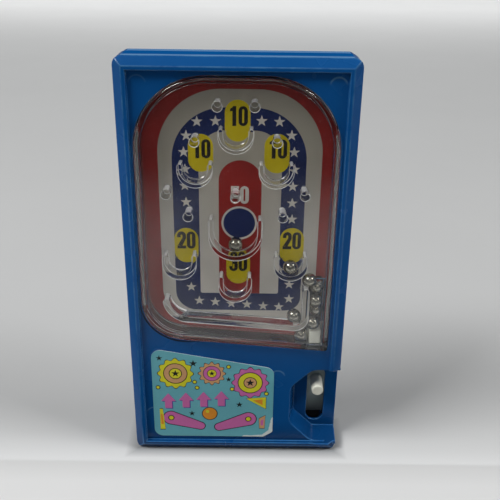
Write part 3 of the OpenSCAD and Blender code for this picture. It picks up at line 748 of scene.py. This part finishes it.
def digit(which, x, z, s):
    """(loops to add, loops to cut) of a figure whose cell is centred on x, z and scaled by s."""
    h, o, i = FIGURE_H, FIGURE_W / 2, FIGURE_W / 2 - STROKE
    add, cut = [], []
    if which == "0":
        add, cut = [stadium(-o, o, 0, h)], [stadium(-i, i, 1.0, h - 1.0)]
    elif which == "1":
        flag_side = [(0.05, h), (-0.35, h - 0.55), (-0.95, h - 0.8), (-0.95, h - 1.75), (-0.2, h - 1.55)]
        add = [[(-0.2, 0), (1.05, 0), (1.05, h)] + flag_side]
    elif which == "2":
        add = [
            circle(0, h - o, o, 0, 180) + [(-o, h - 2.2), (-i, h - 2.2)] + circle(0, h - o, i, 180, 0),
            [(i, h - o), (o, h - o), (o, h - 2.5), (i, h - 2.3)],
            [(o, h - 2.6), (0.2, 1.1), (-o, 1.3), (-o, 0.95), (i, h - 2.3), (o, h - 2.45)],
            [(-o, 0), (o, 0), (o, 1.15), (-o, 1.15)]]
    elif which == "3":
        add = [stadium(-o, o, 0, h)]
        cut = [
            stadium(-i, i, 1.0, h / 2 - 0.35), stadium(-i, i, h / 2 + 0.45, h - 1.0),
            [(-o, 1.95), (-0.45, 1.95), (-0.45, h - 2.0), (-o, h - 2.0)],
            [(o, h / 2 - 0.35), (o + 0.1, h / 2 + 0.45), (o - 0.25, h / 2 + 0.05)]]
    elif which == "5":
        add = [
            [(-o + 0.1, h - 1.05), (o - 0.15, h - 1.05), (o - 0.15, h), (-o + 0.1, h)],
            [(-o + 0.1, 2.9), (-o + STROKE, 2.9), (-o + STROKE, h), (-o + 0.1, h)],
            rounded(-o, o, 0, 4.35, 1.1, o, o, o)]
        cut = [
            stadium(-i, i, 1.0, 3.4), [(-o, 1.9), (-i + 0.02, 1.9), (-i + 0.02, 2.85), (-o, 2.85)],
            [(-o - 0.1, 3.5), (-o + 0.1, 3.5), (-o + 0.1, 4.4), (-o - 0.1, 4.4)]]
    add, cut = ([[(x + a * s, z + (b - h / 2) * s) for a, b in loop] for loop in loops] for loops in (add, cut))
    return add, cut


def number(text, x, z, material, s):
    """The figures of a number, centred on x, z. One that starts with a 1 sits a little to the right."""
    nudge = 0.12 if text[0] == "1" else 0
    places = [x + (k - (len(text) - 1) / 2) * FIGURE_PITCH * s + nudge * s for k in range(len(text))]
    return [(*digit(c, place, z, s), material) for c, place in zip(text, places)]


OVALS = [  # middle x, low, high, figures, their middle height
    (-0.07, 113.0, 125.9, "10", 120.9), (-11.45, 103.2, 115.3, "10", 110.6), (12.1, 103.0, 115.6, "10", 110.8),
    (-16.55, 71.9, 84.2, "20", 79.9), (17.8, 72.0, 84.6, "20", 80.1), (0.35, 64.3, 76.6, "30", 71.9)]
STARS = [
    (-12.45, 119.1), (-6.8, 119.3), (7.2, 119.5), (12.6, 119.3),
    (-15.8, 114.7), (-16.7, 109.5), (-16.4, 104.0), (-16.6, 98.6), (-16.3, 93.1), (-15.3, 62.8),
    (16.45, 115.1), (17.4, 109.8), (17.7, 104.3), (17.35, 98.7), (17.4, 93.1), (17.5, 87.6), (17.45, 64.1),
    (17.55, 58.6), (-12.7, 57.6), (-7.3, 57.2), (-1.9, 56.6), (3.4, 56.4), (8.9, 55.8), (14.2, 55.5)]
CARD_MARGIN = 1.3


def card_ground():
    """Red to the card's edge, apart from a dark margin."""
    outlines = face_loops("playfield_card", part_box("playfield_card")[0].y)
    outline = max(outlines, key=lambda loop: max(x for x, z in loop) - min(x for x, z in loop))
    (x0, x1), (z0, z1) = ((min(values), max(values)) for values in zip(*outline))
    shares = 1 - 2 * CARD_MARGIN / (x1 - x0), 1 - 2 * CARD_MARGIN / (z1 - z0)
    field = scaled(outline, (x0 + x1) / 2, (z0 + z1) / 2, *shares)
    everywhere = box(-40, 40, 30, 150)
    return [([everywhere], [], CARD_BLACK), ([field], [], CARD_RED)]


def card_shapes():
    white_arch = rounded(-24.8, 26.2, 50.0, 129.1, 20.0, 20.0, 4.0, 12.0)
    navy_arch = rounded(-20.45, 21.37, 54.1, 123.5, 16.5, 16.5, 5.0, 7.0)
    white_middle = rounded(-12.2, 13.8, 60.6, 116.5, 8.5, 8.5, 0.6, 0.6)
    red_arch = rounded(-5.97, 7.57, 60.6, 107.1, 6.77, 6.77, 0, 0)
    disc = (0.61, 86.1)
    shapes = card_ground() + [
        ([white_arch], [], CARD_WHITE),
        ([navy_arch], [white_middle], CARD_NAVY),
        ([red_arch], [], CARD_RED),
        ([circle(*disc, 5.75)], [], CARD_PALE),
        ([circle(*disc, 5.1)], [], CARD_NAVY)]
    shapes += number("50", 0.7, 95.7, CARD_PALE, 0.92)
    shapes += [([star(x, z, 1.85)], [], CARD_PALE) for x, z in STARS]
    for x, low, high, figures, middle in OVALS:
        shapes.append(([stadium(x - 3.9, x + 3.9, low, high)], [], CARD_YELLOW))
        shapes += number(figures, x, middle, CARD_BLACK, 0.95)
    return shapes


printed_plate("playfield_card_look", "playfield_card", "case", card_shapes(), CARD_BACK)


# ---------------------------------------------------------------- label
BUMPERS = [  # x, z, radius, colours of the frill, the ring and the cap
    (-21.0, 32.4, 5.7, LABEL_YELLOW, LABEL_TAN, LABEL_YELLOW),
    (4.9, 28.9, 5.9, LABEL_PINK, LABEL_YELLOW, LABEL_TAN),
    (-8.4, 32.6, 4.2, LABEL_TAN, LABEL_PINK, LABEL_YELLOW)]
ARROWS = [(-23.8, 20.9), (-17.6, 21.3), (-11.4, 21.7), (-5.2, 22.1)]
ARROW = [(-2.6, -0.1), (0, 3.2), (2.6, -0.1), (1.25, -0.1), (1.25, -3.1), (-1.25, -3.1), (-1.25, -0.1)]
FLIPPERS = [((-23.0, 13.6), (-12.6, 10.2)), ((4.4, 13.4), (-6.0, 9.8))]  # hub and tip
FLIPPER_HUB_R, FLIPPER_TIP_R, LINE = 2.7, 1.5, 0.32
KICKERS = [  # outline, colour, colour of its middle
    ([(3.6, 22.2), (10.5, 17.9), (10.5, 22.9)], LABEL_YELLOW, LABEL_ORANGE),
    ([(-27.0, 8.6), (-27.0, 17.4), (-25.9, 17.4), (-25.2, 8.6)], LABEL_YELLOW, LABEL_ORANGE),
    ([(8.2, 13.6), (10.4, 15.0), (10.2, 9.4), (8.4, 9.4)], LABEL_TAN, LABEL_PINK)]
LABEL_LAMPS = [(-14.4, 29.0), (-13.6, 26.6), (-2.6, 35.4), (-1.4, 26.2), (-27.2, 26.6), (10.6, 24.4)]
LABEL_STARS = [(-14.8, 36.6, 1.5), (1.2, 19.6, 1.3), (-15.6, 15.6, 1.2), (-2.6, 30.2, 1.1), (-26.4, 38.6, 1.2)]


def discs(x, z, r, colors):
    """Discs on top of each other, each with its share of the radius."""
    return [([circle(x, z, r * share)], [], material) for share, material in colors]


def bumper(x, z, r, outer, ring, cap):
    shapes = [([frilled(x, z, r + 0.25, 0.5)], [], LABEL_BLACK), ([frilled(x, z, r, 0.45)], [], outer)]
    shapes += discs(x, z, r, [(0.74, LABEL_BLACK), (0.69, ring), (0.40, LABEL_BLACK), (0.35, cap)])
    return shapes + [([star(x, z, r * 0.27)], [], LABEL_BLACK)]


def arrow(x, z):
    """An arrow with its shade."""
    loop = [(x + a, z + b) for a, b in ARROW]
    return [([[(a + 0.35, b - 0.3) for a, b in loop]], [], LABEL_SHADE), ([loop], [], LABEL_PINK)]


def flipper(hub, tip):
    """A flipper with a dark outline and a button on its hub."""
    a, b = Vector(hub), Vector(tip)
    along = (b - a).normalized()
    side = Vector((-along.y, along.x))
    shapes = []
    for grow, material in ((LINE, LABEL_BLACK), (0, LABEL_PINK)):
        ra, rb = FLIPPER_HUB_R + grow, FLIPPER_TIP_R + grow
        arm = [tuple(a + side * ra), tuple(b + side * rb), tuple(b - side * rb), tuple(a - side * ra)]
        shapes.append(([circle(*hub, ra), circle(*tip, rb), arm], [], material))
    return shapes + discs(*hub, FLIPPER_HUB_R, [(0.42, LABEL_BLACK), (0.30, LABEL_YELLOW)])


def kicker(loop, color, middle):
    """An outlined plate with a smaller one on it."""
    x, z = (sum(values) / len(loop) for values in zip(*loop))
    grown = 1 + 0.3 / max(math.hypot(a - x, b - z) for a, b in loop)
    outline, small = scaled(loop, x, z, grown, grown), scaled(loop, x, z, 0.5, 0.5)
    return [([outline], [], LABEL_BLACK), ([loop], [], color), ([small], [], middle)]


def worn_corner():
    """The lower right corner, where the print is worn off."""
    rng = random.Random(7)
    corner = [(14.0, 4.0), (14.0, 15.0)]
    corner += [(12.75 - 0.35 * rng.random() - 0.12 * k, 14.0 - 0.62 * k) for k in range(10)]
    corner += [(9.3 - 1.3 * k, 6.5 - 0.25 * rng.random() - 0.06 * k) for k in range(6)]
    return [([corner + [(0.0, 4.0)]], [], LABEL_PALE)]


def label_shapes():
    everywhere = box(-40, 30, 0, 50)
    shapes = [([everywhere], [], LABEL_TEAL)]
    for drawn, items in ((bumper, BUMPERS), (arrow, ARROWS), (flipper, FLIPPERS)):
        for item in items:
            shapes += drawn(*item)
    shapes += discs(-9.3, 15.6, 2.5, [(1.12, LABEL_BLACK), (1.0, LABEL_ORANGE)])
    shapes += discs(-10.1, 16.5, 0.6, [(1, LABEL_YELLOW)])
    for item in KICKERS:
        shapes += kicker(*item)
    for x, z in LABEL_LAMPS:
        shapes += discs(x, z, 0.85, [(1, LABEL_BLACK), (0.66, LABEL_YELLOW)])
    shapes += [([star(*item)], [], LABEL_BLACK) for item in LABEL_STARS]
    return shapes + worn_corner()


printed_plate("label_look", "label", "case", label_shapes(), LABEL_PALE)

# ---------------------------------------------------------------- balls, plunger, screws, spring
DENTS, DENT_DEPTH = 14, 0.03 * MM


def ball_piece(i):
    """A steel ball with a few shallow dents."""
    lo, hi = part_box(f"ball_{i}")
    centre, r = (lo + hi) / 2, (hi.z - lo.z) / 2
    bm = bmesh.new()
    bmesh.ops.create_icosphere(bm, subdivisions=5, radius=r)
    rng = random.Random(100 + i)
    angle = rng.uniform(0, 6.28)
    axis = Vector((rng.uniform(-1, 1), rng.uniform(-1, 1), rng.uniform(-1, 1))).normalized()
    dents = [Vector((rng.gauss(0, 1), rng.gauss(0, 1), rng.gauss(0, 1))).normalized() for _ in range(DENTS)]
    sizes = [rng.uniform(0.10, 0.22) for _ in dents]
    for v in bm.verts:
        out = v.co.normalized()
        dip = sum(max(0.0, 1 - (out - dent).length / size) ** 2 * size for dent, size in zip(dents, sizes))
        v.co = out * (r - DENT_DEPTH * dip)
    turn = Matrix.Rotation(angle, 4, axis)
    bmesh.ops.transform(bm, matrix=Matrix.Translation(centre) @ turn, verts=bm.verts)
    mesh = to_mesh(bm, f"ball_{i}_look", ball_steel)
    for p in mesh.polygons:
        p.use_smooth = True
    o = link_object(f"ball_{i}_look", mesh, f"ball_{i}")
    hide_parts(f"ball_{i}")


for ball in range(1, 10):
    ball_piece(ball)
rounded_copy("plunger", "plunger", ivory, 0.35, 3)
for screw in range(1, 5):
    rounded_copy(f"screw_{screw}", "case", screw_steel, 0.12)

WIRE, TURNS, STEPS_PER_TURN, WIRE_SIDES = 0.4 * MM, 7, 32, 10


def spring_piece():
    """The return spring as a round wire."""
    lo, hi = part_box("return_spring")
    cx, cy, r = (lo.x + hi.x) / 2, (lo.y + hi.y) / 2, (hi.x - lo.x) / 2 - WIRE / 2
    z0, rise = lo.z + WIRE / 2, hi.z - lo.z - WIRE
    full = 2 * math.pi * TURNS
    steps = TURNS * STEPS_PER_TURN
    round_wire = [2 * math.pi * j / WIRE_SIDES for j in range(WIRE_SIDES)]
    bm = bmesh.new()
    rings = []
    for i in range(steps + 1):
        a = full * i / steps
        centre = Vector((cx + r * math.cos(a), cy + r * math.sin(a), z0 + rise * i / steps))
        along = Vector((-r * math.sin(a) * full, r * math.cos(a) * full, rise)).normalized()
        out = Vector((math.cos(a), math.sin(a), 0))
        up = along.cross(out)
        rings.append([bm.verts.new(centre + (out * math.cos(b) + up * math.sin(b)) * WIRE / 2) for b in round_wire])
    for one, two in zip(rings, rings[1:]):
        for j in range(WIRE_SIDES):
            k = (j + 1) % WIRE_SIDES
            bm.faces.new((one[j], one[k], two[k], two[j]))
    bm.faces.new(rings[0])
    bm.faces.new(rings[-1][::-1])
    bmesh.ops.recalc_face_normals(bm, faces=bm.faces)
    mesh = to_mesh(bm, "return_spring_look", wire_steel)
    smooth(mesh, 50)
    o = link_object("return_spring_look", mesh, "case")
    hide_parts("return_spring")
    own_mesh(o)


spring_piece()

# ---------------------------------------------------------------- floor
# Tone of the floor from front to back, as (place in metres, tone): painted shade, darker in front, darkest in a band
# just behind the foot and lighter far back
FLOOR_SHADE = [
    (-0.60, 0.54), (-0.14, 0.60), (-0.05, 0.70), (-0.020, 0.695), (-0.012, 0.57), (0.004, 0.48), (0.044, 0.46),
    (0.12, 0.49), (0.30, 0.52), (0.7, 0.64), (1.6, 0.86)]
FLOOR_RINGS, FLOOR_SIDES = (0.25, 0.6, 1.2, 2.2, 3.4), 64
FOOT_X, FOOT_Y = 36 * MM, 8 * MM


def floor_sheet():
    """A round sheet of pale paper, with painted shade in bands from front to back and a painted contact shadow where
    it meets the foot.
    """
    bm = bmesh.new()
    angles = [2 * math.pi * k / FLOOR_SIDES for k in range(FLOOR_SIDES)]
    rings = [[bm.verts.new((r * math.cos(a), r * math.sin(a), 0)) for a in angles] for r in FLOOR_RINGS]
    bm.faces.new(rings[0])
    for one, two in zip(rings, rings[1:]):
        for k in range(FLOOR_SIDES):
            j = (k + 1) % FLOOR_SIDES
            bm.faces.new((one[k], two[k], two[j], one[j]))
    n = Nodes("floor")
    paper = n.noise(6, 4, 0.6)
    grain = n.noise(400, 2, 0.6)
    front_y, back_y = FLOOR_SHADE[0][0], FLOOR_SHADE[-1][0]
    stops = [((y - front_y) / (back_y - front_y), (v, v * 1.005, v * 1.003)) for y, v in FLOOR_SHADE]
    tone = n.ramp(n.ranged(n.along("Y"), 0.0, 1.0, front_y, back_y), stops)
    color = n.mix(n.ranged(paper, 0, 1, 0.3, 0.7), tone, (0.97, 0.97, 0.97), "MULTIPLY")
    beyond = [n.math("SUBTRACT", n.math("ABSOLUTE", n.along(k)), size) for k, size in (("X", FOOT_X), ("Y", FOOT_Y))]
    contact_shadow = n.ranged(n.math("MAXIMUM", *beyond), 0.6, 0.0, -0.5 * MM, 4 * MM)
    color = n.mix(contact_shadow, color, (0.12, 0.13, 0.14))
    material = n.done(n.principled(color, 0.8, n.bump(grain, 0.05, 0.3 * MM), Specular_IOR_Level=0.2))
    o = add_object("floor", to_mesh(bm, "floor", material))


def flag():
    """A black sheet on the floor before the object, which the camera doesn't see.

    It keeps the floor's glare off the plastic, apart from a soft patch at each side."""
    x, near, far, z = 1.6, -14 * MM, -2.0, 0.4 * MM
    bm = bmesh.new()
    bm.faces.new([bm.verts.new(v) for v in ((-x, far, z), (x, far, z), (x, near, z), (-x, near, z))])
    n = Nodes("flag_cloth")
    weave = n.ramp(n.noise(900, 2, 0.5), [(0.3, (0.015, 0.015, 0.016)), (0.7, (0.03, 0.03, 0.032))])
    cloth = n.principled(weave, 0.9, Specular_IOR_Level=0.1)
    ahead = n.times(n.along("Y"), -1.0)
    side = n.math("ABSOLUTE", n.along("X"))
    close = n.ranged(ahead, 1.0, 0.0, 0.055, 0.085)
    distant = n.ranged(ahead, 0.0, 1.0, 0.17, 0.34)
    middle = n.times(n.ranged(side, 1.0, 0.0, 0.016, 0.055), n.ranged(ahead, 0.0, 1.0, 0.09, 0.15))
    covered = n.math("MAXIMUM", n.math("MAXIMUM", close, distant), middle)
    material = n.done(n.mix_shader(covered, n.node("ShaderNodeBsdfTransparent").outputs[0], cloth))
    o = add_object("flag", to_mesh(bm, "flag", material))
    o.visible_camera = o.visible_shadow = o.visible_volume_scatter = False


floor_sheet()
flag()

# ---------------------------------------------------------------- light
LIGHTS = [  # name, place, what it points at, size, watts, spread in degrees
    ("left", (-0.90, -0.48, 1.25), (0, 0, 0.05), (0.65, 0.4), 22.0, 180),
    ("right", (1.05, -0.31, 1.10), (0, 0, 0.05), (0.5, 0.35), 12.3, 180),
    ("front", (0, -1.20, 0.85), (0, 0, 0.08), (0.6, 0.4), 0.9, 180),
    ("back", (0, 1.5, 1.4), (0, 2.0, 0), (4.6, 0.8), 15.5, 100)]
# Brightness of the sky by the height of the view, from -1 straight down to 1 straight up
SKY = [(-1.0, 0.50), (0.0, 0.34), (0.06, 0.14), (0.25, 0.08), (0.9, 0.20)]


def area(name, place, aim, size, energy, spread):
    data = bpy.data.lights.new(name, "AREA")
    data.shape = "RECTANGLE"
    data.size, data.size_y = size
    data.energy = energy
    data.spread = math.radians(spread)
    o = add_object(name, data)
    o.location = place
    o.rotation_mode = "QUATERNION"
    o.rotation_quaternion = (Vector(aim) - Vector(place)).to_track_quat("-Z", "Y")


def world_sky():
    """Pale near the horizon, dim above it, with a soft ceiling."""
    world = bpy.data.worlds.new("world")
    world.use_nodes = True
    tree = world.node_tree
    split = tree.nodes.new("ShaderNodeSeparateXYZ")
    tree.links.new(tree.nodes.new("ShaderNodeTexCoord").outputs["Generated"], split.inputs[0])
    place = tree.nodes.new("ShaderNodeMapRange")
    place.inputs["From Min"].default_value = -1.0
    tree.links.new(split.outputs["Z"], place.inputs["Value"])
    ramp = tree.nodes.new("ShaderNodeValToRGB")
    while len(ramp.color_ramp.elements) < len(SKY):
        ramp.color_ramp.elements.new(0.5)
    for e, (z, v) in zip(ramp.color_ramp.elements, SKY):
        e.position = (z + 1) / 2
        e.color = (v * 0.97, v, v * 1.01, 1)
    tree.links.new(place.outputs["Result"], ramp.inputs["Fac"])
    tree.links.new(ramp.outputs["Color"], tree.nodes["Background"].inputs["Color"])
    bpy.context.scene.world = world


for light in LIGHTS:
    area(*light)
world_sky()
bpy.context.scene.view_settings.view_transform = "Standard"
